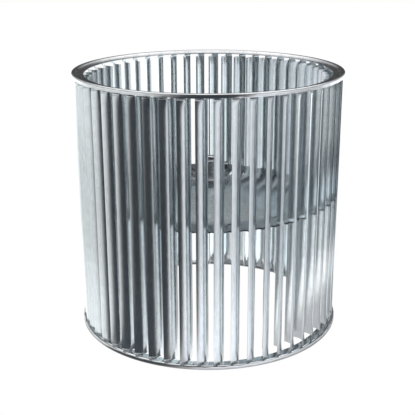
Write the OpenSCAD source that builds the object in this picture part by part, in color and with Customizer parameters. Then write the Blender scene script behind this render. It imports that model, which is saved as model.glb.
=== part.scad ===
// Forward-curved blower wheel, open at both ends, for a furnace or air-handler blower.
// The wheel's axis is Z. The origin is the centre of the lower end ring's outer face.
// Each blade has a narrow tab at both ends that sits inside the rolled bead of an end ring,
// and its inner edge passes through a slot in the rim of the centre disc.

/* [Wheel] */
// Diameter over the end rings
wheel_d = 270; // [262:1:280]
// Height over the end rings
wheel_h = 263; // [200:1:300]
// Number of blades
blade_count = 52; // [44:1:54]
// Angle of the first blade's tip from the -Y axis, anticlockwise from above
first_blade_angle = 1.9; // [0:0.1:6]

/* [Blades] */
// Thickness of the blade sheet
blade_t = 0.6; // [0.5:0.05:0.7]
// Distance from the rings' outer edge to the middle of the sheet at the tips
tip_inset = 2.2; // [2.1:0.05:2.3]
// Radial depth from the tips to the inner edges
blade_depth = 17.8; // [16:0.1:19]
// Angle by which the inner edge trails the tip
blade_lag = 4; // [3:0.1:5]
// Radius of the blade's curve, at the middle of the sheet
blade_arc_r = 12.2; // [11.5:0.1:15]
// Distance from the wheel's end to the blade's full-width shoulder
shoulder_z = 6; // [5:0.5:14]
// Width of the neck between the shoulder and the ring, along the curve
neck_w = 8; // [5:0.5:9]
// Width of the tab inside the ring's bead, along the curve
tab_w = 3.2; // [2:0.1:3.2]

/* [End rings] */
// Thickness of the ring sheet
ring_t = 0.8; // [0.6:0.1:1]
// Radial width of the rolled bead
bead_w = 4.4; // [4.4:0.1:4.8]
// Depth of the bead's outer wall over the blade ends
bead_h = 4.2; // [3.5:0.1:5]
// Radius of the bead's outer corners
bead_corner_r = 1.2; // [0.9:0.1:1.4]
// Radial width of the whole ring, bead and flat web
ring_w = 11.6; // [9:0.1:14]
// Depth of the web below the bead's crown
web_drop = 1.8; // [1.6:0.1:2]

/* [Centre disc] */
// Thickness of the disc sheet
disc_t = 1.2; // [1:0.1:1.5]
// How far the disc's rim reaches past the blades' inner edges
disc_grip = 2.1; // [1.5:0.1:3]
// Outer radius of the cone that lifts the hub seat
cone_r = 97.5; // [80:0.5:102]
// Height of the hub seat above the rim
cone_rise = 15.1; // [8:0.1:20]
// Height of the step at the cone's foot
foot_step = 1.5; // [1:0.1:2.5]
// Radius of the flat hub seat
seat_r = 25; // [23:0.5:30]
// Width of the rim slots across the blade sheet
slot_w = 1; // [0.9:0.05:1.3]
// Number of round holes in the rim band
rim_hole_count = 12; // [4:1:24]
// Diameter of the rim band holes
rim_hole_d = 4.5; // [3:0.5:6]

/* [Hub] */
// Bore for the motor shaft, a half-inch shaft
bore_d = 12.7; // [9.5:0.1:16]
// Outside diameter of the barrel
barrel_d = 25.4; // [25:0.1:30]
// Length of the whole hub
hub_length = 29; // [26:0.5:40]
// Diameter of the flange that sits on the disc
flange_d = 43; // [36:0.5:46]
// Thickness of the flange
flange_t = 6.5; // [3:0.5:8]
// Diameter of the lip staked under the disc
staked_lip_d = 31; // [28:0.5:34]
// Height of the staked lip
staked_lip_t = 2.2; // [1.5:0.1:3]

/* [Set screw] */
// Thread diameter of the set screw
screw_d = 7.8; // [6:0.1:8]
// Width of the square head across its flats
head_w = 8; // [7:0.5:9]
// Height of the square head
head_h = 6; // [4:0.5:7]

/* [Hidden] */
$fn = 96;
cut = 1;                                   // how far a cutting solid runs past what it cuts
radial_gap = 0.07;                         // clearance round the screw and the hub's spigot
web_gap = 0.2;                             // clearance between a ring's web and the blade necks

wheel_r = wheel_d / 2;
tip_r = wheel_r - tip_inset;
inner_r = tip_r - blade_depth;
blade_pitch = 360 / blade_count;

tip_point = [tip_r, 0];
inner_point = inner_r * [cos(blade_lag), sin(blade_lag)];
chord = inner_point - tip_point;
chord_length = norm(chord);
bulge_dir = [chord[1], -chord[0]] / chord_length;
arc_centre = (tip_point + inner_point) / 2
           - bulge_dir * sqrt(pow(blade_arc_r, 2) - pow(chord_length / 2, 2));
tip_angle = atan2(tip_point[1] - arc_centre[1], tip_point[0] - arc_centre[0]);
blade_sweep = 2 * asin(chord_length / 2 / blade_arc_r);
degrees_per_mm = 180 / (PI * blade_arc_r); // turn of the blade's curve for 1 mm of its width
slot_overrun = 0.5 * degrees_per_mm;       // slot past the blade's inner edge

disc_r = inner_r + disc_grip;
disc_top_z = (wheel_h + disc_t) / 2;
seat_z = disc_top_z + cone_rise;
rim_hole_r = cone_r + 2;
first_rim_hole_angle = 11.3;

barrel_r = barrel_d / 2;
lip_z = seat_z - disc_t - staked_lip_t;
hub_z = lip_z - 1.8;
hub_top_z = hub_z + hub_length;
barrel_chamfer = 1;
screw_z = (seat_z + flange_t + hub_top_z) / 2;
screw_tip_x = bore_d / 2 + 0.25;
head_x = barrel_r + 1;

BLADES = [for (i = [1 : blade_count]) str("blade_", i < 10 ? "0" : "", i)];

// Places its children at blade number i's angle.
module at_blade(i) rotate(first_blade_angle - 90 + (i - 1) * blade_pitch) children();

// Wedge about the blade's arc centre, from one angle past the tip to another.
module arc_wedge(from, to) {
    reach = 2 * blade_arc_r;
    steps = 3;
    translate(arc_centre)
        rotate(tip_angle)
            polygon(concat([[0, 0]], [for (i = [0 : steps])
                reach * [cos(from + (to - from) * i / steps), sin(from + (to - from) * i / steps)]]));
}

// Plan of a strip that follows the blade's curve inwards from the tip.
module curved_strip(thickness, sweep) {
    intersection() {
        translate(arc_centre) difference() {
            circle(r = blade_arc_r + thickness / 2);
            circle(r = blade_arc_r - thickness / 2);
        }
        arc_wedge(0, sweep);
    }
}

// Removes what lies past a width along the curve, at both ends of a blade.
module end_cuts(width, height) {
    for (z = [-cut, wheel_h - height])
        translate([0, 0, z])
            linear_extrude(height + cut)
                arc_wedge(width * degrees_per_mm, blade_sweep + 10);
}

module blade() {
    difference() {
        translate([0, 0, ring_t])
            linear_extrude(wheel_h - 2 * ring_t) curved_strip(blade_t, blade_sweep);
        end_cuts(neck_w, shoulder_z);
        end_cuts(tab_w, web_drop + ring_t + web_gap);
    }
}

module blade_node(i) color("gainsboro") at_blade(i) blade();

// Points of a quarter circle in the ring's section.
function corner(centre, from) =
    [for (i = [0 : 6]) centre + bead_corner_r * [cos(from + 15 * i), sin(from + 15 * i)]];

// Section of an end ring, radius by height above the ring's crown.
function ring_section() = concat(
    corner([wheel_r - bead_w + bead_corner_r, bead_corner_r], 180),
    corner([wheel_r - bead_corner_r, bead_corner_r], 270),
    [
        [wheel_r, bead_h],
        [wheel_r - ring_t, bead_h],
        [wheel_r - ring_t, ring_t],
        [wheel_r - bead_w + ring_t, ring_t],
        [wheel_r - bead_w + ring_t, web_drop + ring_t],
        [wheel_r - ring_w, web_drop + ring_t],
        [wheel_r - ring_w, web_drop],
        [wheel_r - bead_w, web_drop]
    ]);

module end_ring() rotate_extrude($fn = 192) polygon(ring_section());

module bottom_end_ring() color("silver") end_ring();

module top_end_ring() color("silver") translate([0, 0, wheel_h]) mirror([0, 0, 1]) end_ring();

// Upper line of the disc's section, from the hub out to the rim.
disc_line = [
    [barrel_r + radial_gap, seat_z],
    [seat_r, seat_z],
    [cone_r - foot_step, disc_top_z + foot_step],
    [cone_r, disc_top_z],
    [disc_r, disc_top_z]
];
disc_section = concat(disc_line, [for (i = [len(disc_line) - 1 : -1 : 0]) disc_line[i] - [0, disc_t]]);

module centre_disc() color("darkgray") difference() {
    rotate_extrude($fn = 192) polygon(disc_section);
    translate([0, 0, disc_top_z - disc_t - cut]) linear_extrude(disc_t + 2 * cut) {
        for (i = [1 : blade_count])
            at_blade(i) curved_strip(slot_w, blade_sweep + slot_overrun);
        for (i = [0 : rim_hole_count - 1])
            rotate(first_rim_hole_angle + i * 360 / rim_hole_count)
                translate([rim_hole_r, 0]) circle(d = rim_hole_d);
    }
}

// Half section of the hub without its bore.
hub_section = [
    [0, hub_z],
    [barrel_r, hub_z],
    [barrel_r, lip_z],
    [staked_lip_d / 2, lip_z],
    [staked_lip_d / 2, seat_z - disc_t],
    [barrel_r, seat_z - disc_t],
    [barrel_r, seat_z],
    [flange_d / 2, seat_z],
    [flange_d / 2, seat_z + flange_t],
    [barrel_r, seat_z + flange_t],
    [barrel_r, hub_top_z - barrel_chamfer],
    [barrel_r - barrel_chamfer, hub_top_z],
    [0, hub_top_z]
];

module hub() color("lightslategray") difference() {
    rotate_extrude() polygon(hub_section);
    translate([0, 0, hub_z - cut]) cylinder(h = hub_length + 2 * cut, d = bore_d);
    translate([0, 0, screw_z]) rotate([0, 90, 0]) cylinder(h = flange_d, d = screw_d + 2 * radial_gap);
}

module set_screw() color("dimgray") translate([0, 0, screw_z]) {
    translate([screw_tip_x, 0, 0]) rotate([0, 90, 0]) cylinder(h = head_x - screw_tip_x, d = screw_d);
    intersection() {
        translate([head_x, -head_w / 2, -head_w / 2]) cube([head_h, head_w, head_w]);
        translate([head_x - cut, 0, 0]) rotate([0, 90, 0]) cylinder(h = head_h + 2 * cut, d = 1.3 * head_w);
    }
}

for (i = [1 : blade_count])
    blade_node(i);
top_end_ring();
bottom_end_ring();
centre_disc();
hub();
set_screw();
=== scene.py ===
"""Blower motor wheel: the looks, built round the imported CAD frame. Sizes of pieces are in millimetres."""
import math
import random

import bmesh
import bpy
from mathutils import Matrix, Vector


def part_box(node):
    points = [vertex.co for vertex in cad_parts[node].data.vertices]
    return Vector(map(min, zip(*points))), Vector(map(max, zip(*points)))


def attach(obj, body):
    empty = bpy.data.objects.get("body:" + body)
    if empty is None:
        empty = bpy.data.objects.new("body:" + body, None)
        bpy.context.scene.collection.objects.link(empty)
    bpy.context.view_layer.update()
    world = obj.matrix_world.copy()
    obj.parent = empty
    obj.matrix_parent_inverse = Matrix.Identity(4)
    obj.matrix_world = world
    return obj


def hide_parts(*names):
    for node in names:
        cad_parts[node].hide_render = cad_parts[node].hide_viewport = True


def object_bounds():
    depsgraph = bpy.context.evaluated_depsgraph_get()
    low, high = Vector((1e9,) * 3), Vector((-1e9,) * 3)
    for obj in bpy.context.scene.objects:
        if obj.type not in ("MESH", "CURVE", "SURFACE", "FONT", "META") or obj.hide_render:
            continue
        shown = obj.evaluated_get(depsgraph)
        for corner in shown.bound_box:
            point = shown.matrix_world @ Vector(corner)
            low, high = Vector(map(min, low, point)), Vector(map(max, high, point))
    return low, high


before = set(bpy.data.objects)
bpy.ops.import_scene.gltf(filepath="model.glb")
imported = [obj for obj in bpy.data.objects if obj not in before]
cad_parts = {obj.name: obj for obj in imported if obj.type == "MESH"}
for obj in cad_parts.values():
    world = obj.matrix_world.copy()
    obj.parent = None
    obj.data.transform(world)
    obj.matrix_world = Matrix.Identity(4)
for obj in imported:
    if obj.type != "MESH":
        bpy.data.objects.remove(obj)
cad_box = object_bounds()

MM = 0.001

# Sizes repeated from the CAD source
BLADE_COUNT = 52
FIRST_BLADE_ANGLE = 1.9
BLADE_T = 0.6
TIP_INSET = 2.2
BLADE_DEPTH = 17.8
BLADE_LAG = 4.0
BLADE_ARC_R = 12.2
SHOULDER_Z = 6.0
NECK_W = 8.0
TAB_W = 3.2
RING_T = 0.8
BEAD_W = 4.4
BEAD_H = 4.2
RING_W = 11.6
DISC_T = 1.2
DISC_GRIP = 2.1
CONE_R = 97.5
CONE_RISE = 15.1
SEAT_R = 25.0
RIM_HOLE_COUNT = 12
RIM_HOLE_D = 4.5
FIRST_RIM_HOLE_ANGLE = 11.3
BARREL_R = 12.7
FLANGE_T = 6.5
STAKED_LIP_R = 15.5
STAKED_LIP_T = 2.2
BORE_R = 6.35
SCREW_R = 3.9
HEAD_GAP = 1.0

# Sizes and places read from the frame, and what follows from them
_, ring_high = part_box("bottom_end_ring")
hub_low, hub_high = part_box("hub")
screw_low, screw_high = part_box("set_screw")
WHEEL_R = ring_high.x / MM
WHEEL_H = cad_box[1].z / MM
TIP_R = WHEEL_R - TIP_INSET
INNER_R = TIP_R - BLADE_DEPTH
DISC_R = INNER_R + DISC_GRIP
DISC_TOP = (WHEEL_H + DISC_T) / 2
SEAT_Z = DISC_TOP + CONE_RISE
HUB_BOTTOM = hub_low.z / MM
HUB_TOP = hub_high.z / MM
FLANGE_R = hub_high.x / MM
SCREW_Z = (screw_low.z + screw_high.z) / 2 / MM
SCREW_TIP_X = screw_low.x / MM
HEAD_X = BARREL_R + HEAD_GAP
HEAD_END_X = screw_high.x / MM
HEAD_W = (screw_high.z - screw_low.z) / MM


# ---------------------------------------------------------------- node helpers
def plug(links, value, socket):
    """Link a node's output to a socket, or set the socket to a plain value."""
    if isinstance(value, bpy.types.NodeSocket):
        links.new(value, socket)
    else:
        socket.default_value = value


def maths(nodes, links, operation, *values):
    """Result of one operation on linked values."""
    node = nodes.new("ShaderNodeMath")
    node.operation = operation
    for value, socket in zip(values, node.inputs):
        links.new(value, socket)
    return node.outputs[0]


def map_range(nodes, links, value, from_min, from_max, to_min, to_max):
    """A linked value carried from one range to another, held at the ends."""
    node = nodes.new("ShaderNodeMapRange")
    node.inputs["From Min"].default_value = from_min
    node.inputs["From Max"].default_value = from_max
    node.inputs["To Min"].default_value = to_min
    node.inputs["To Max"].default_value = to_max
    links.new(value, node.inputs["Value"])
    return node.outputs["Result"]


def mix_colours(nodes, links, factor, first, second, blend="MIX"):
    """Two colours blended. The factor and the colours are outputs of nodes or plain values."""
    node = nodes.new("ShaderNodeMix")
    node.data_type = "RGBA"
    node.blend_type = blend
    plug(links, factor, node.inputs["Factor"])
    plug(links, first, node.inputs["A"])
    plug(links, second, node.inputs["B"])
    return node.outputs["Result"]


def colour_ramp(nodes, links, value, stops):
    """Colour looked up from (position, grey or colour) stops by a linked value."""
    node = nodes.new("ShaderNodeValToRGB")
    elements = node.color_ramp.elements
    elements[0].position, elements[1].position = stops[0][0], stops[-1][0]
    for position, _ in stops[1:-1]:
        elements.new(position)
    for element, (_, tone) in zip(elements, stops):
        colour = tone if isinstance(tone, tuple) else (tone, tone, tone)
        element.color = (*colour, 1)
    links.new(value, node.inputs["Fac"])
    return node.outputs["Color"]


def noise(nodes, links, vector, scale, detail):
    node = nodes.new("ShaderNodeTexNoise")
    node.inputs["Scale"].default_value = scale
    node.inputs["Detail"].default_value = detail
    links.new(vector, node.inputs["Vector"])
    return node.outputs["Fac"]


# ---------------------------------------------------------------- materials
ROUGHNESS_SPREAD = 0.08
CRYSTAL_DARK = 0.965                 # tone of the darkest zinc crystals, and of the lightest
CRYSTAL_LIGHT = 1.035
CLOUD_SCALE = 28.0
CLOUD_STOPS = ((0.3, (0.95, 0.955, 0.96)), (0.7, 1.0))
FLECKS = (0.3, 0.7, 0.88, 1.07)      # range of the grain, and the tones that it becomes
EDGE_WEAR_AND_HIGHLIGHT = (0.51, 0.6)              # pointiness at which an edge starts to lighten, partly wear and partly painted highlight, and is fully lightened
WEAR_AND_HIGHLIGHT_COLOUR = (0.86, 0.87, 0.88, 1)
GRAIN_BUMP = 0.2
GRAIN_HEIGHT = 0.0002                # metres


def galvanised(name, colour, roughness, grain_scale, grain=1.0, spangle_scale=150.0, edge_wear_and_highlight=0.6):
    """Rolled galvanised sheet: metal with stretched grain, zinc spangle, specks, and edges lightened partly
    as wear and partly as painted highlight.
    """
    material = bpy.data.materials.new(name)
    material.use_nodes = True
    nodes = material.node_tree.nodes
    links = material.node_tree.links
    nodes.clear()
    output = nodes.new("ShaderNodeOutputMaterial")
    shader = nodes.new("ShaderNodeBsdfPrincipled")
    shader.inputs["Metallic"].default_value = 1.0
    links.new(shader.outputs["BSDF"], output.inputs["Surface"])

    place = nodes.new("ShaderNodeTexCoord").outputs["Object"]
    stretched = nodes.new("ShaderNodeMapping")
    stretched.inputs["Scale"].default_value = grain_scale
    links.new(place, stretched.inputs["Vector"])
    streaks = noise(nodes, links, stretched.outputs["Vector"], scale=1.0, detail=4.0)
    cloud = noise(nodes, links, place, scale=CLOUD_SCALE, detail=2.0)
    spangle = nodes.new("ShaderNodeTexVoronoi")
    spangle.inputs["Scale"].default_value = spangle_scale
    links.new(place, spangle.inputs["Vector"])

    smoothest = roughness - ROUGHNESS_SPREAD
    roughest = roughness + ROUGHNESS_SPREAD
    links.new(map_range(nodes, links, streaks, 0, 1, smoothest, roughest), shader.inputs["Roughness"])

    dark = (*[c * CRYSTAL_DARK for c in colour], 1)
    light = (*[c * CRYSTAL_LIGHT for c in colour], 1)
    steel = mix_colours(nodes, links, spangle.outputs["Color"], dark, light)
    steel = mix_colours(nodes, links, 1.0, steel, colour_ramp(nodes, links, cloud, CLOUD_STOPS), "MULTIPLY")
    steel = mix_colours(nodes, links, 1.0, steel, map_range(nodes, links, streaks, *FLECKS), "MULTIPLY")
    # Convex edges go lighter by pointiness: partly wear, partly a painted highlight.
    pointiness = nodes.new("ShaderNodeNewGeometry").outputs["Pointiness"]
    wear_and_highlight = map_range(nodes, links, pointiness, *EDGE_WEAR_AND_HIGHLIGHT, 0, edge_wear_and_highlight)
    steel = mix_colours(nodes, links, wear_and_highlight, steel, WEAR_AND_HIGHLIGHT_COLOUR)
    links.new(steel, shader.inputs["Base Color"])

    bump = nodes.new("ShaderNodeBump")
    bump.inputs["Strength"].default_value = GRAIN_BUMP * grain
    bump.inputs["Distance"].default_value = GRAIN_HEIGHT
    links.new(streaks, bump.inputs["Height"])
    links.new(bump.outputs["Normal"], shader.inputs["Normal"])
    return material


blade_steel = galvanised(
    "blade_steel", colour=(0.77, 0.805, 0.825), roughness=0.2, grain_scale=(1300, 1300, 110))
ring_steel = galvanised(
    "ring_steel", colour=(0.78, 0.79, 0.80), roughness=0.15, grain_scale=(140, 140, 700), grain=0.7)
disc_steel = galvanised(
    "disc_steel", colour=(0.61, 0.68, 0.715), roughness=0.17, grain_scale=(420, 420, 420), grain=0.8)
hub_steel = galvanised(
    "hub_steel", colour=(0.46, 0.48, 0.50), roughness=0.27, grain_scale=(240, 240, 1500), spangle_scale=600)
# Near-black metal for the disc's cut edges and hole walls: painted shade, darker than bare steel's own
# colour.
cut_edge_painted_shade = galvanised(
    "cut_edge_painted_shade", colour=(0.07, 0.072, 0.075), roughness=0.5, grain_scale=(900, 900, 900), spangle_scale=600,
    edge_wear_and_highlight=0.0)
screw_steel = galvanised(
    "screw_steel", colour=(0.20, 0.205, 0.215), roughness=0.32, grain_scale=(500, 500, 500),
    spangle_scale=700)


# ---------------------------------------------------------------- mesh helpers
SHARP_ANGLE = 35.0      # degrees above which an edge is left hard


def mark_sharp_edges(bm, sharp_angle):
    limit = math.radians(sharp_angle)
    for edge in bm.edges:
        edge.smooth = len(edge.link_faces) == 2 and edge.calc_face_angle(0) <= limit


def finish_mesh(bm, name, sharp_angle=SHARP_ANGLE):
    """Smooth faces, with edges sharper than the angle left hard."""
    bmesh.ops.recalc_face_normals(bm, faces=bm.faces)
    for face in bm.faces:
        face.smooth = True
    mark_sharp_edges(bm, sharp_angle)
    mesh = bpy.data.meshes.new(name)
    bm.to_mesh(mesh)
    bm.free()
    return mesh


def add_piece(name, mesh, material, body, slot, *nodes):
    piece = bpy.data.objects.new(name, mesh)
    bpy.context.scene.collection.objects.link(piece)
    mesh.materials.append(material)
    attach(piece, body)
    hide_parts(*nodes)
    return piece


def smooth_step(low, high, value):
    t = min(1.0, max(0.0, (value - low) / (high - low)))
    return t * t * (3 - 2 * t)


def spacings(angle):
    """How many blade spacings an angle lies past the first blade."""
    first = math.radians(FIRST_BLADE_ANGLE - 90)
    return ((angle - first) / (2 * math.pi) * BLADE_COUNT) % BLADE_COUNT


def arc_points(centre, radius, start, end, steps):
    """Points of an arc in a section, angles in degrees."""
    turn = [math.radians(start + (end - start) * i / steps) for i in range(steps + 1)]
    return [Vector((centre[0] + radius * math.cos(a), centre[1] + radius * math.sin(a))) for a in turn]


def strip_section(line, thickness):
    """Closed outline of a bent strip: the given line, and the same line moved over by the thickness."""
    moved = []
    for i, point in enumerate(line):
        before = line[max(i - 1, 0)]
        after = line[min(i + 1, len(line) - 1)]
        along = (after - before).normalized()
        moved.append(point + Vector((-along.y, along.x)) * thickness)
    return list(line) + moved[::-1]


def rounded_section(corners):
    """Closed section from (radius, height, corner rounding) points."""
    outline = []
    count = len(corners)
    steps = 4
    for i, (x, y, rounding) in enumerate(corners):
        here = Vector((x, y))
        if rounding == 0:
            outline.append(here)
            continue
        before = (Vector(corners[i - 1][:2]) - here).normalized()
        after = (Vector(corners[(i + 1) % count][:2]) - here).normalized()
        start = here + before * rounding
        end = here + after * rounding
        for k in range(steps + 1):
            t = k / steps
            outline.append(start * (1 - t) ** 2 + here * 2 * t * (1 - t) + end * t * t)
    return outline


def lathe(section, segments, wave=None):
    """Turn a closed (radius, height) section about Z. wave(angle, radius, height) may shift a point."""
    bm = bmesh.new()
    rings = []
    for k in range(segments):
        angle = 2 * math.pi * k / segments
        ring = []
        for radius, height in section:
            r, z = wave(angle, radius, height) if wave else (radius, height)
            ring.append(bm.verts.new((r * math.cos(angle) * MM, r * math.sin(angle) * MM, z * MM)))
        rings.append(ring)
    count = len(section)
    for k in range(segments):
        here, there = rings[k], rings[(k + 1) % segments]
        for i in range(count):
            j = (i + 1) % count
            bm.faces.new((here[i], here[j], there[j], there[i]))
    return bm


def ring_about_x(bm, along, points, height=0.0):
    """Ring of vertices round a line parallel to X, from (angle, radius) points."""
    ring = []
    for turn, radius in points:
        y = radius * math.cos(turn)
        z = height + radius * math.sin(turn)
        ring.append(bm.verts.new((along * MM, y * MM, z * MM)))
    return ring


def skin_rings(bm, rings):
    """Faces between neighbouring rings of vertices. A ring of one vertex closes an end."""
    for here, there in zip(rings, rings[1:]):
        count = max(len(here), len(there))
        for k in range(count):
            n = (k + 1) % count
            if len(here) == 1:
                bm.faces.new((here[0], there[k], there[n]))
            elif len(there) == 1:
                bm.faces.new((here[k], there[0], here[n]))
            else:
                bm.faces.new((here[k], there[k], there[n], here[n]))


# ---------------------------------------------------------------- blades
FLARE = 0.55            # how far a blade flattens towards the ring, from 0, curved, to 1, straight
FLARE_HEIGHTS = (SHOULDER_Z - 2, 15.0)      # full below the first height, nothing above the second
FLARE_WIDTH = 7.0       # width along the curve that flattens
JOGGLE = 0.8            # step inwards that lets a blade's neck sit inside the ring's bead
JOGGLE_HEIGHTS = (4.2, 7.0)                 # full below the first height, nothing above the second
JOGGLE_WIDTHS = (4, 12)                     # the same, for the width along the curve from the tip
JOGGLE_TO_AXIS = 0.5    # part of the step that goes straight towards the wheel's axis
# Heights of the rows of points from the shoulder to mid-height, closer where the blade flattens
BODY_HEIGHTS = (SHOULDER_Z, 6.6, 7.3, 8.2, 9.5, 12, 16, 24, 45, 80)
# (height, width) rows of the neck and tab, from the shoulder to the end
NECK_ROWS = (
    (5.5, NECK_W), (5.0, 7.9), (4.5, 7.7), (4.0, 7.4), (3.5, 6.8), (3.0, 5.8), (2.7, TAB_W),
    (RING_T + 0.1, TAB_W))
NECK_COLS = 7
BODY_COLS = 20
TWIST = 1.0             # degrees by which a blade may be turned about its tip, either way


class BladeCurve:
    """Plan curve of a blade: arc length in millimetres from the tip gives a point and its normal."""

    def __init__(self):
        lag = math.radians(BLADE_LAG)
        tip = Vector((TIP_R, 0))
        inner = Vector((INNER_R * math.cos(lag), INNER_R * math.sin(lag)))
        chord = inner - tip
        half = chord.length / 2
        bulge = Vector((chord.y, -chord.x)).normalized()
        self.centre = (tip + inner) / 2 - bulge * math.sqrt(BLADE_ARC_R ** 2 - half ** 2)
        start = tip - self.centre
        self.start = math.atan2(start.y, start.x)
        self.length = 2 * math.asin(half / BLADE_ARC_R) * BLADE_ARC_R

    def at(self, s):
        angle = self.start + s / BLADE_ARC_R
        normal = Vector((math.cos(angle), math.sin(angle)))
        return self.centre + normal * BLADE_ARC_R, normal


curve = BladeCurve()


def flare(s, end):
    """How far a blade's surface stands off its plain curve, at a height above the wheel's nearer end."""
    amount = FLARE * (1 - smooth_step(*FLARE_HEIGHTS, end))
    if amount <= 0:
        return Vector((0, 0))
    reach = min(s, FLARE_WIDTH)
    point, normal = curve.at(reach)
    tip, tip_normal = curve.at(0)
    straight = tip + Vector((-tip_normal.y, tip_normal.x)) * reach
    fade = 1 - smooth_step(FLARE_WIDTH, 2 * FLARE_WIDTH, s)
    inward = Vector((-JOGGLE_TO_AXIS, 0)) - normal
    step = inward * JOGGLE * (1 - smooth_step(*JOGGLE_HEIGHTS, end)) * (1 - smooth_step(*JOGGLE_WIDTHS, s))
    return (straight - point) * amount * fade + step


def blade_cells():
    """Four-cornered cells of (width, height) points that cover a blade, its necks and its tabs."""
    rest_cols = BODY_COLS - NECK_COLS
    rest_w = curve.length - NECK_W
    cols = [NECK_W * i / NECK_COLS for i in range(NECK_COLS)]
    cols += [NECK_W + rest_w * i / rest_cols for i in range(rest_cols + 1)]
    heights = list(BODY_HEIGHTS) + [WHEEL_H / 2] + [WHEEL_H - h for h in reversed(BODY_HEIGHTS)]
    rows = [[(s, z) for s in cols] for z in heights]
    cells = []
    for low, high in zip(rows, rows[1:]):
        cells += [(low[c], low[c + 1], high[c + 1], high[c]) for c in range(BODY_COLS)]
    for top in (False, True):
        last = rows[-1 if top else 0][: NECK_COLS + 1]
        for end, width in NECK_ROWS:
            z = WHEEL_H - end if top else end
            row = [(width * i / NECK_COLS, z) for i in range(NECK_COLS + 1)]
            for c in range(NECK_COLS):
                cell = (last[c], last[c + 1], row[c + 1], row[c])
                cells.append(cell if top else cell[::-1])
            last = row
    return cells


def blade_mesh(index, twist):
    """One blade: a sheet of two skins, closed by a rim along every edge that has one cell only."""
    bm = bmesh.new()
    skins = ({}, {})
    tip = Vector((TIP_R, 0))
    lean = Matrix.Rotation(math.radians(twist), 2)

    def vertex(side, s, z):
        if (s, z) not in skins[side]:
            point, normal = curve.at(s)
            point = point + normal * BLADE_T * (0.5 if side else -0.5) + flare(s, min(z, WHEEL_H - z))
            turned = tip + lean @ (point - tip)
            skins[side][(s, z)] = bm.verts.new((turned.x * MM, turned.y * MM, z * MM))
        return skins[side][(s, z)]

    rim = {}
    for cell in blade_cells():
        bm.faces.new([vertex(1, *corner) for corner in cell])
        bm.faces.new([vertex(0, *corner) for corner in cell[::-1]])
        for a, b in zip(cell, cell[1:] + cell[:1]):
            key = (min(a, b), max(a, b))
            rim[key] = None if key in rim else (a, b)
    for pair in rim.values():
        if pair:
            a, b = pair
            bm.faces.new((vertex(1, *b), vertex(1, *a), vertex(0, *a), vertex(0, *b)))
    angle = math.radians(FIRST_BLADE_ANGLE - 90 + (index - 1) * 360 / BLADE_COUNT)
    bm.transform(Matrix.Rotation(angle, 4, "Z"))
    return finish_mesh(bm, f"blade_sheet_{index:02d}")


def make_blades():
    draw = random.Random(7)
    for i in range(1, BLADE_COUNT + 1):
        name = f"blade_{i:02d}"
        mesh = blade_mesh(i, draw.uniform(-TWIST, TWIST))
        add_piece(name + "_sheet", mesh, blade_steel, "wheel", "blade_steel", name)


# ---------------------------------------------------------------- end rings
BEAD_OUTER_R = 1.3      # roundings of the rolled bead
BEAD_INNER_R = 2.0
WEB_Z = 2.0             # height of the flat web's outer edge, and its rise in each of its steps inwards
WEB_RISE = 0.1
WEB_STEPS = 4
WEB_FILLET = 0.8
# The lip over the blade ends, from its edge: (distance in from the ring's outside, height)
LIP_POINTS = ((0.3, BEAD_H), (0.04, BEAD_H - 0.7), (0, BEAD_OUTER_R + 0.9))
RING_SHEET = 0.9 * RING_T
STEPS_PER_BLADE = 8
CRIMP_IN = 0.32         # depth of the deepest crimp in the lip, inwards and along the wheel
CRIMP_ALONG = 0.25
CRIMP_LEAST = 0.4       # depth of the shallowest crimp, as a share of the deepest
CRIMP_FOOT = 1.6        # height at which the crimps run out
CRIMP_W = 2.0           # how far in from the ring's outside the crimps reach


def ring_line():
    """Outer line of an end ring's section: the lip over the blade ends, the rolled bead and the web."""
    outer_x = WHEEL_R - BEAD_OUTER_R
    inner_x = WHEEL_R - BEAD_W + BEAD_INNER_R
    web_x = WHEEL_R - BEAD_W - WEB_FILLET
    web_w = web_x - WHEEL_R + RING_W
    line = [Vector((WHEEL_R - inset, height)) for inset, height in LIP_POINTS]
    line += arc_points((outer_x, BEAD_OUTER_R), BEAD_OUTER_R, 0, -90, 8)
    line += arc_points((inner_x, BEAD_INNER_R), BEAD_INNER_R, 270, 198, 8)
    line += arc_points((web_x, WEB_Z - WEB_FILLET), WEB_FILLET, 30, 90, 4)
    line += [Vector((web_x - web_w * i / WEB_STEPS, WEB_Z + WEB_RISE * i)) for i in range(1, WEB_STEPS + 1)]
    return line


def make_ring(name, node, top):
    """An end ring whose lip is crimped a little between the blades, each crimp by its own amount."""
    draw = random.Random(11 if top else 5)
    dents = [draw.uniform(CRIMP_LEAST, 1.0) for _ in range(BLADE_COUNT)]

    def crimp(angle, radius, height):
        turn = spacings(angle)
        depth = dents[int(turn)] * (0.5 - 0.5 * math.cos(2 * math.pi * (turn % 1))) ** 3
        lip = smooth_step(CRIMP_FOOT, BEAD_H, height) if radius > WHEEL_R - CRIMP_W else 0
        return radius - CRIMP_IN * depth * lip, height - CRIMP_ALONG * depth * lip

    section = strip_section(ring_line()[::-1], RING_SHEET)
    bm = lathe(section, BLADE_COUNT * STEPS_PER_BLADE, crimp)
    if top:
        bm.transform(Matrix.Translation((0, 0, WHEEL_H * MM)) @ Matrix.Scale(-1, 4, (0, 0, 1)))
    mesh = finish_mesh(bm, name)
    add_piece(name, mesh, ring_steel, "wheel", "ring_steel", node)


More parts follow.
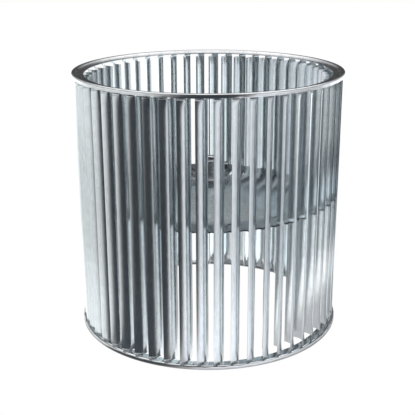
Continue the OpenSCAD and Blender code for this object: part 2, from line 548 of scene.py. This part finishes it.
# ---------------------------------------------------------------- centre disc
# Radii of the rings of points: the seat, the cone, its foot and the rim holes, and the slotted rim
DISC_RADII = (
    BARREL_R + 0.05, 16, 20, 22, 23.5, 25, 26.5, 28, 30,
    34, 40, 48, 56, 64, 72, 80, 86, 91, 94,
    95.1, 95.7, 96.3, 96.9, 97.3, 97.6, 98.4, 99.2, 100, 100.9, 101.8,
    103, 105, 107, 109, 111, 112.5, 114, 115.2, 116.3, DISC_R)
CELLS_PER_BLADE = 12
DISC_SEGMENTS = BLADE_COUNT * CELLS_PER_BLADE
SLOT_CELLS = (6, 7)             # cells of each spacing that are open at the rim, where a blade passes
SLOT_START_R = INNER_R - 0.7
FOOT_W = 6.0                    # eased foot of the cone
SEAT_BLEND_W = 5.0              # half the width of the eased corner round the hub's seat
CRINKLE_START_R = 100
CRINKLE_EVEN = 0.55             # height of the crinkles that all spacings share
CRINKLE_OWN = 0.45              # height of each spacing's own bend
RIM_HOLE_RING_R = CONE_R + 2
HOLE_INSIDE = 0.62              # shares of a rim hole's radius within which a point is cut away,
HOLE_SNAP = 1.35                # and within which it moves on to the hole's edge


def disc_height(radius):
    """Height of the disc's upper face: flat rim, the cone and the flat hub seat, with eased corners."""
    slope = CONE_RISE / (CONE_R - SEAT_R - FOOT_W / 2)
    inward = CONE_R - radius
    if inward <= 0:
        return DISC_TOP
    if inward < FOOT_W:
        return DISC_TOP + slope * inward * inward / (2 * FOOT_W)
    rise = DISC_TOP + slope * (inward - FOOT_W / 2)
    over = SEAT_R + SEAT_BLEND_W - radius
    if over <= 0:
        return rise
    if over >= 2 * SEAT_BLEND_W:
        return SEAT_Z
    return rise - slope * over * over / (4 * SEAT_BLEND_W)


def crinkle(bends, angle, radius):
    """Rise or fall of the slotted rim between the blades."""
    turn = spacings(angle)
    even = CRINKLE_EVEN * math.cos(2 * math.pi * turn)
    own = CRINKLE_OWN * bends[int(turn)] * math.sin(math.pi * (turn % 1))
    return smooth_step(CRINKLE_START_R, DISC_R, radius) * (even + own)


def snapped(angle, radius):
    """A point of the disc, and whether a rim hole takes it away. One near a hole moves on to its edge."""
    edge = RIM_HOLE_D / 2
    point = Vector((radius * math.cos(angle), radius * math.sin(angle)))
    for i in range(RIM_HOLE_COUNT):
        turn = math.radians(FIRST_RIM_HOLE_ANGLE + 360 * i / RIM_HOLE_COUNT)
        centre = Vector((RIM_HOLE_RING_R * math.cos(turn), RIM_HOLE_RING_R * math.sin(turn)))
        away = point - centre
        if away.length < edge * HOLE_INSIDE:
            return point, True
        if away.length < edge * HOLE_SNAP:
            return centre + away.normalized() * edge, False
    return point, False


def disc_faces(bm, top, under, cells):
    """Faces of both skins over the kept cells. Gives the cut faces, where a neighbouring cell is open."""
    kept = set(cells)
    cut_faces = []
    for k, i in cells:
        n = (k + 1) % DISC_SEGMENTS
        bm.faces.new((top[k][i], top[k][i + 1], top[n][i + 1], top[n][i]))
        bm.faces.new((under[k][i], under[n][i], under[n][i + 1], under[k][i + 1]))
        sides = (
            ((k, i - 1), (k, i), (n, i)),
            ((k, i + 1), (n, i + 1), (k, i + 1)),
            (((k - 1) % DISC_SEGMENTS, i), (k, i + 1), (k, i)),
            ((n, i), (n, i), (n, i + 1)))
        for neighbour, (a, b), (c, d) in sides:
            if neighbour not in kept:
                cut_faces.append(bm.faces.new((top[a][b], top[c][d], under[c][d], under[a][b])))
    return cut_faces


def make_disc():
    """The centre disc: a dished sheet whose rim is cut into tabs between the blades, and crinkled."""
    draw = random.Random(3)
    bends = [draw.uniform(-1.0, 1.0) for _ in range(BLADE_COUNT)]
    bm = bmesh.new()
    skins = []
    holes = set()
    for drop in (0, DISC_T):
        skin = []
        for k in range(DISC_SEGMENTS):
            angle = 2 * math.pi * k / DISC_SEGMENTS + math.radians(FIRST_BLADE_ANGLE - 90)
            ring = []
            for i, radius in enumerate(DISC_RADII):
                point, inside = snapped(angle, radius)
                if inside:
                    holes.add((k, i))
                z = disc_height(radius) + crinkle(bends, angle, radius) - drop
                ring.append(bm.verts.new((point.x * MM, point.y * MM, z * MM)))
            skin.append(ring)
        skins.append(skin)

    slot_start = next(i for i, radius in enumerate(DISC_RADII) if radius > SLOT_START_R)

    def open_cell(k, i):
        n = (k + 1) % DISC_SEGMENTS
        in_hole = bool({(k, i), (k, i + 1), (n, i), (n, i + 1)} & holes)
        return in_hole or (i >= slot_start and k % CELLS_PER_BLADE in SLOT_CELLS)

    every_cell = [(k, i) for k in range(DISC_SEGMENTS) for i in range(len(DISC_RADII) - 1)]
    cells = [cell for cell in every_cell if not open_cell(*cell)]
    # The cut faces of the slots and rim holes take the near-black metal: painted shade.
    for face in disc_faces(bm, *skins, cells):
        face.material_index = 1
    loose = [v for v in bm.verts if not v.link_faces]
    bmesh.ops.delete(bm, geom=loose, context="VERTS")
    mesh = finish_mesh(bm, "centre_disc_sheet")
    add_piece("centre_disc_sheet", mesh, disc_steel, "wheel", "disc_steel", "centre_disc")
    mesh.materials.append(cut_edge_painted_shade)


# ---------------------------------------------------------------- hub
HUB_SEGMENTS = 128
SCREW_HOLE_R = SCREW_R + 0.12
SCREW_HOLE_SEGMENTS = 40
COUNTERSINK = 0.7


def make_hub():
    """Turned hub: bored barrel, a flange with a raised edge, and the lip staked under the disc."""
    disc_under = SEAT_Z - DISC_T
    lip_z = disc_under - STAKED_LIP_T
    flange_top = SEAT_Z + FLANGE_T
    recess_z = flange_top - 1.2
    recess_r = FLANGE_R - 6.2
    edge_r = FLANGE_R - 5.5
    low_chamfer = 0.6
    high_chamfer = 0.8
    corners = [
        (BORE_R, HUB_BOTTOM + low_chamfer, 0), (BORE_R + low_chamfer, HUB_BOTTOM, 0),
        (BARREL_R, HUB_BOTTOM, 0.4), (BARREL_R, lip_z, 0),
        (STAKED_LIP_R, lip_z, 0.6), (STAKED_LIP_R, disc_under, 0),
        (BARREL_R, disc_under, 0), (BARREL_R, SEAT_Z, 0),
        (FLANGE_R, SEAT_Z, 0.3), (FLANGE_R, flange_top, 1.2),
        (edge_r, flange_top, 0.5), (recess_r, recess_z, 0.4),
        (BARREL_R, recess_z, 0.7), (BARREL_R, HUB_TOP, 1.0),
        (BORE_R + high_chamfer, HUB_TOP, 0), (BORE_R, HUB_TOP - high_chamfer, 0)]
    mesh = finish_mesh(lathe(rounded_section(corners), HUB_SEGMENTS), "hub_turned")
    hub = add_piece("hub_turned", mesh, hub_steel, "wheel", "hub_steel", "hub")
    bore_in_side(hub)


def screw_hole_cutter():
    """Solid of the set screw's hole, from inside the bore to outside the barrel, with its countersink."""
    bm = bmesh.new()
    outside = BARREL_R + 6
    inside = BORE_R - 2
    mouth = SCREW_HOLE_R + COUNTERSINK
    line = ((outside, mouth + outside - BARREL_R), (BARREL_R + 0.05, mouth),
            (BARREL_R - COUNTERSINK, SCREW_HOLE_R), (inside, SCREW_HOLE_R))
    rings = [[bm.verts.new((outside * MM, 0, SCREW_Z * MM))]]
    turns = [2 * math.pi * k / SCREW_HOLE_SEGMENTS for k in range(SCREW_HOLE_SEGMENTS)]
    for along, radius in line:
        points = [(turn, radius) for turn in turns]
        rings.append(ring_about_x(bm, along, points, SCREW_Z))
    rings.append([bm.verts.new((inside * MM, 0, SCREW_Z * MM))])
    skin_rings(bm, rings)
    return bpy.data.objects.new("screw_hole_cutter", finish_mesh(bm, "screw_hole_cutter"))


def bore_in_side(hub):
    """Cut the set screw's hole through one side of the barrel."""
    cutter = screw_hole_cutter()
    bpy.context.scene.collection.objects.link(cutter)
    cut = hub.modifiers.new("screw_hole", "BOOLEAN")
    cut.object = cutter
    cut.solver = "EXACT"
    bpy.context.view_layer.update()
    depsgraph = bpy.context.evaluated_depsgraph_get()
    result = bpy.data.meshes.new_from_object(hub.evaluated_get(depsgraph))
    hub.modifiers.clear()
    hub.data = result
    bpy.data.objects.remove(cutter)
    work = bmesh.new()
    work.from_mesh(result)
    mark_sharp_edges(work, SHARP_ANGLE)
    work.to_mesh(result)
    work.free()


# ---------------------------------------------------------------- set screw
SCREW_SEGMENTS = 48
SHANK_STEPS = 60
SHANK_LENGTH = HEAD_X - SCREW_TIP_X
THREAD_PITCH = 1.3
THREAD_DEPTH = 0.35
THREAD_RUNOUT = 0.6             # plain length under the head
THREAD_CLEARANCE = 0.05
POINT_LENGTH = 1.1              # tapered point
POINT_SHARE = 0.72              # radius at the very tip, as a share of the full radius
CUP_DEPTH = 0.5
HEAD_CORNER = 1.28              # radius of the turned-off corners, as a share of half the head's width


def thread_radius(along, turn):
    """Radius of the shank at a distance from its tip."""
    taper = min(1.0, POINT_SHARE + (1 - POINT_SHARE) * along / POINT_LENGTH)
    phase = (along / THREAD_PITCH - turn / (2 * math.pi)) % 1
    threaded = along < SHANK_LENGTH - THREAD_RUNOUT
    groove = THREAD_DEPTH * (abs(2 * phase - 1) if threaded else 0.5)
    return (SCREW_R - THREAD_CLEARANCE - groove) * taper


def head_radius(turn, share):
    """Radius of the square head, with its corners turned off to a share of their radius."""
    half = HEAD_W / 2
    across = half / max(abs(math.cos(turn)), abs(math.sin(turn)))
    return min(across, half * HEAD_CORNER * share)


def make_set_screw():
    """Square-head set screw: threaded shank with a cup point, and a head with turned-off corners."""
    bm = bmesh.new()
    rings = [[bm.verts.new((SCREW_TIP_X * MM + CUP_DEPTH * MM, 0, 0))]]
    turns = [2 * math.pi * k / SCREW_SEGMENTS for k in range(SCREW_SEGMENTS)]
    for i in range(SHANK_STEPS + 1):
        along = SHANK_LENGTH * i / SHANK_STEPS
        points = [(turn, thread_radius(along, turn)) for turn in turns]
        rings.append(ring_about_x(bm, SCREW_TIP_X + along, points))
    head_length = HEAD_END_X - HEAD_X
    head_rows = ((0, 0.93), (0.35, 1.0), (head_length - 0.9, 1.0), (head_length - 0.3, 0.93),
                 (head_length, 0.8))
    turns = [2 * math.pi * (k + 0.5) / SCREW_SEGMENTS for k in range(SCREW_SEGMENTS)]
    for along, share in head_rows:
        points = [(turn, head_radius(turn, share)) for turn in turns]
        rings.append(ring_about_x(bm, HEAD_X + along, points))
    rings.append([bm.verts.new((HEAD_END_X * MM, 0, 0))])
    skin_rings(bm, rings)
    bm.transform(Matrix.Translation((0, 0, SCREW_Z * MM)))
    mesh = finish_mesh(bm, "set_screw_threaded", sharp_angle=28)
    add_piece("set_screw_threaded", mesh, screw_steel, "set_screw_body", "screw_steel", "set_screw")


make_blades()
make_ring("bottom_ring_rolled", "bottom_end_ring", False)
make_ring("top_ring_rolled", "top_end_ring", True)
make_disc()
make_hub()
make_set_screw()


# ---------------------------------------------------------------- stage, light and camera, in metres
SHEET_REACH = 6
FLOOR_DROP = 0.0004
CARD_DROP = 0.0002
CARD_APEX = (-0.09, -0.06, 0)        # point that the light card's wedges fan out from
CARD_DARK = (0.06, 0.07, 0.08)
# Brightness round the apex: degrees from +Y towards +X, then a grey or a colour
OUTSIDE_STOPS = (
    (-180, CARD_DARK), (-167, (0.08, 0.09, 0.1)), (-157, 0.23), (-148, 0.5),
    (-136, (0.84, 0.87, 0.87)), (-112, (1.02, 1.06, 1.06)), (-65, (0.96, 0.99, 0.99)),
    (-45, (1.5, 1.57, 1.57)), (0, (1.75, 1.85, 1.85)), (55, (1.65, 1.75, 1.78)),
    (80, (0.74, 0.77, 0.79)), (100, (0.74, 0.76, 0.79)), (118, (1.1, 1.13, 1.18)),
    (134, (1.04, 1.07, 1.13)), (141, 0.55), (148, 0.13), (155, CARD_DARK), (180, CARD_DARK))
# Brightness under the wheel, round its axis
UNDER_WHEEL_STOPS = (
    (-180, 1.1), (-125, 1.25), (-90, 1.3), (-60, 1.1), (0, 0.8), (60, 0.72), (90, 0.55), (150, 0.58),
    (172, 0.8), (180, 1.1))
# Changes with the distance from the axis: where each starts and ends, and the value before and after
CARD_UNDER_WHEEL = (0.122, 0.14, 1.0, 0.0)
# The next row dims the card in a narrow ring round the wheel's foot: a painted contact shadow, which the
# lower ring's outer wall reflects.
CARD_FOOT_SHADOW = (0.137, 0.15, 0.5, 1.0)
CARD_NEAR = (0.2, 0.42, 1.08, 0.78)
CARD_MIDDLE = (0.8, 1.4, 1.0, 1.35)
CARD_FAR = (2.0, 2.6, 1.0, 0.04)
# Brightness of the surroundings against the sine of the elevation
SKY_STOPS = (
    (0.0, 0.05), (0.22, 0.07), (0.3, 0.17), (0.5, 0.15), (0.6, 0.4), (0.66, 0.28), (0.71, 0.5),
    (0.77, 1.15), (1.0, 1.3))
# Brightness of the tall soft boxes to the left and right, against the same sine
SIDE_STOPS = ((0.0, 0.55), (0.45, (0.62, 0.65, 0.67)), (0.6, 1.4), (1.0, 1.4))
SIDE_BOX_EDGE = (0.25, 0.55, 0.0, 1.0)      # sideways share of a direction, and how far a box shows there
CAMERA_PLACE = (-0.0011, -0.8444, 0.3981)
CAMERA_DIP = 18.41                   # degrees below level
CAMERA_ROLL = -0.003                 # radians
LENS = 73.54
SENSOR_W = 36


def angle_ramp(nodes, links, x, y, stops):
    """Colour that depends on the direction (x, y), from stops in degrees from +Y towards +X."""
    azimuth = maths(nodes, links, "ARCTAN2", x, y)
    turn = map_range(nodes, links, azimuth, -math.pi, math.pi, 0, 1)
    return colour_ramp(nodes, links, turn, [((degrees + 180) / 360, tone) for degrees, tone in stops])


def stage_sheet(name, drop):
    """A flat square sheet just under the wheel, glowing. Gives the object and its material's node tree."""
    bm = bmesh.new()
    bmesh.ops.create_grid(bm, x_segments=2, y_segments=2, size=SHEET_REACH)
    mesh = bpy.data.meshes.new(name)
    bm.to_mesh(mesh)
    bm.free()
    sheet = bpy.data.objects.new(name, mesh)
    bpy.context.scene.collection.objects.link(sheet)
    sheet.location.z = cad_box[0].z - drop
    material = bpy.data.materials.new(name)
    material.use_nodes = True
    nodes = material.node_tree.nodes
    links = material.node_tree.links
    nodes.clear()
    output = nodes.new("ShaderNodeOutputMaterial")
    glow = nodes.new("ShaderNodeEmission")
    links.new(glow.outputs["Emission"], output.inputs["Surface"])
    mesh.materials.append(material)
    return sheet, nodes, links, glow


def make_floor():
    """Plain white floor."""
    stage_sheet("floor", FLOOR_DROP)


def make_light_card():
    """Soft light card on the floor, hidden from the camera: bright behind and at the sides, dark in front."""
    card, nodes, links, glow = stage_sheet("light_card", CARD_DROP)
    card.visible_camera = False
    place = nodes.new("ShaderNodeNewGeometry").outputs["Position"]
    from_apex = nodes.new("ShaderNodeVectorMath")
    from_apex.operation = "SUBTRACT"
    from_apex.inputs[1].default_value = CARD_APEX
    links.new(place, from_apex.inputs[0])
    round_apex = nodes.new("ShaderNodeSeparateXYZ")
    links.new(from_apex.outputs["Vector"], round_apex.inputs["Vector"])
    round_axis = nodes.new("ShaderNodeSeparateXYZ")
    links.new(place, round_axis.inputs["Vector"])
    reach = nodes.new("ShaderNodeVectorMath")
    reach.operation = "LENGTH"
    links.new(place, reach.inputs[0])
    distance = reach.outputs["Value"]

    outside = angle_ramp(nodes, links, round_apex.outputs["X"], round_apex.outputs["Y"], OUTSIDE_STOPS)
    under = angle_ramp(nodes, links, round_axis.outputs["X"], round_axis.outputs["Y"], UNDER_WHEEL_STOPS)
    inside = map_range(nodes, links, distance, *CARD_UNDER_WHEEL)
    links.new(mix_colours(nodes, links, inside, outside, under), glow.inputs["Color"])
    near = map_range(nodes, links, distance, *CARD_NEAR)
    middle = map_range(nodes, links, distance, *CARD_MIDDLE)
    far = map_range(nodes, links, distance, *CARD_FAR)
    # Painted contact shadow: the card is dimmed round the wheel's foot.
    foot = map_range(nodes, links, distance, *CARD_FOOT_SHADOW)
    strength = maths(nodes, links, "MULTIPLY", near, maths(nodes, links, "MULTIPLY", middle, far))
    strength = maths(nodes, links, "MULTIPLY", strength, maths(nodes, links, "MAXIMUM", foot, inside))
    links.new(strength, glow.inputs["Strength"])


def make_world():
    """Soft light overhead, a soft box on each side and a dim horizon. The camera sees plain white."""
    world = bpy.data.worlds.new("studio")
    bpy.context.scene.world = world
    world.use_nodes = True
    nodes = world.node_tree.nodes
    links = world.node_tree.links
    nodes.clear()
    output = nodes.new("ShaderNodeOutputWorld")
    direction = nodes.new("ShaderNodeSeparateXYZ")
    links.new(nodes.new("ShaderNodeTexCoord").outputs["Generated"], direction.inputs["Vector"])
    sky = colour_ramp(nodes, links, direction.outputs["Z"], SKY_STOPS)
    side_box = colour_ramp(nodes, links, direction.outputs["Z"], SIDE_STOPS)
    sideways = maths(nodes, links, "ABSOLUTE", direction.outputs["X"])
    at_side = map_range(nodes, links, sideways, *SIDE_BOX_EDGE)
    studio = nodes.new("ShaderNodeBackground")
    links.new(mix_colours(nodes, links, at_side, sky, side_box), studio.inputs["Color"])
    white = nodes.new("ShaderNodeEmission")
    path = nodes.new("ShaderNodeLightPath")
    seen = nodes.new("ShaderNodeMixShader")
    links.new(path.outputs["Is Camera Ray"], seen.inputs["Fac"])
    links.new(studio.outputs["Background"], seen.inputs[1])
    links.new(white.outputs["Emission"], seen.inputs[2])
    links.new(seen.outputs["Shader"], output.inputs["Surface"])


def make_camera():
    data = bpy.data.cameras.new("camera")
    data.sensor_width = SENSOR_W
    data.lens = LENS
    camera = bpy.data.objects.new("camera", data)
    pitch = Matrix.Rotation(math.radians(90 - CAMERA_DIP), 4, "X")
    camera.matrix_world = Matrix.Translation(CAMERA_PLACE) @ pitch @ Matrix.Rotation(CAMERA_ROLL, 4, "Z")
    bpy.context.scene.collection.objects.link(camera)
    bpy.context.scene.camera = camera


make_floor()
make_light_card()
make_world()
make_camera()
bpy.context.scene.view_settings.view_transform = "Standard"
